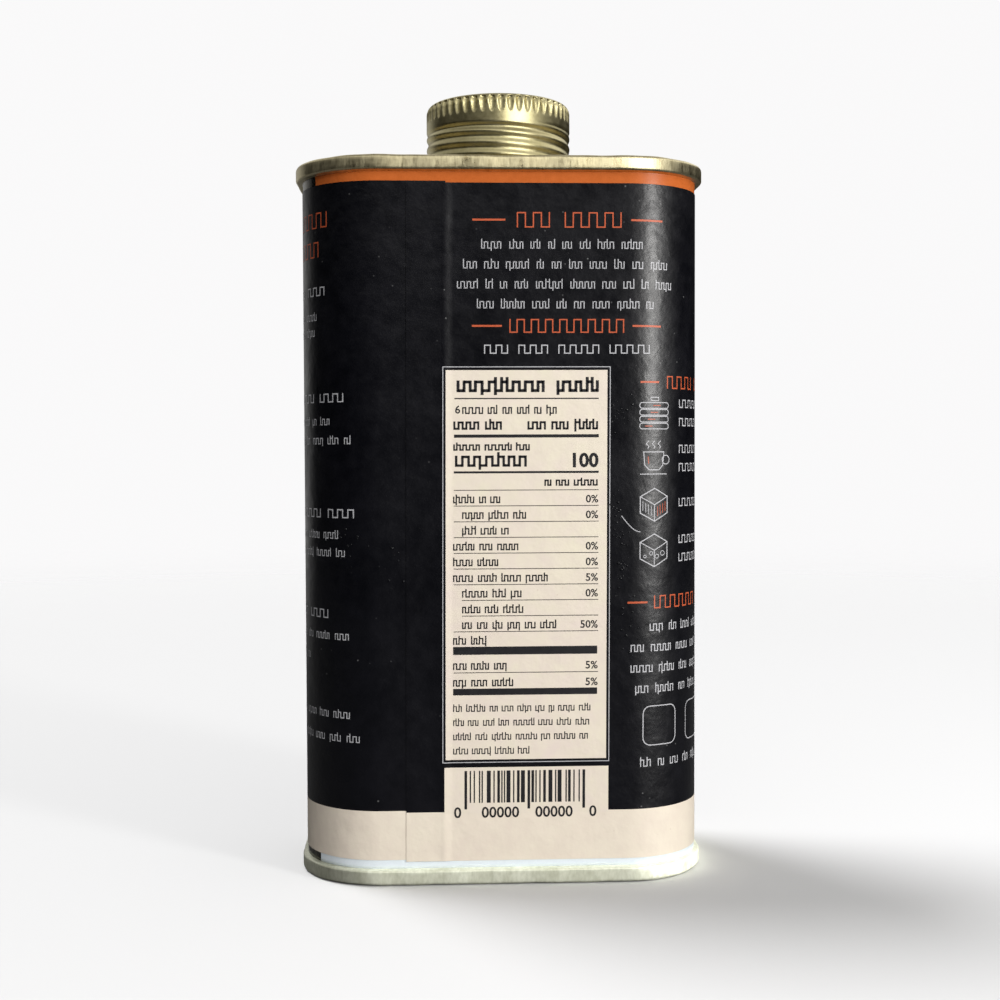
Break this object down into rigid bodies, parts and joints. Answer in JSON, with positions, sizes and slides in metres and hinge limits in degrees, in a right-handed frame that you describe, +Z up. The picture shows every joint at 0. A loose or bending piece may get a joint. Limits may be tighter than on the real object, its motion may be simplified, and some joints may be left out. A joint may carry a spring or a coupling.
{
  "type": "oblong syrup tin",
  "caption": "Flat-sided tin with round corners, rolled seams, a screw cap on a short neck and a wrapped paper label.",
  "frame": {"origin": "centre of the tin's footprint, on the floor", "axes": "+Z up to the cap; the broad front with the facts panel faces -Y; the two ends of the label lap left of the middle of that face"},
  "size_m": [0.07, 0.038, 0.133],
  "materials": {
    "wall_print": "gloss print",
    "end_plate": "satin pale gold lacquer",
    "cap_plate": "satin gold lacquer",
    "label_film": "satin print on paper"
  },
  "bodies": {
    "root": {"can_wall": "wall_print", "top_end": "end_plate", "bottom_end": "end_plate", "neck": "cap_plate", "screw_cap": "cap_plate", "label": "label_film"}
  },
  "joints": []
}
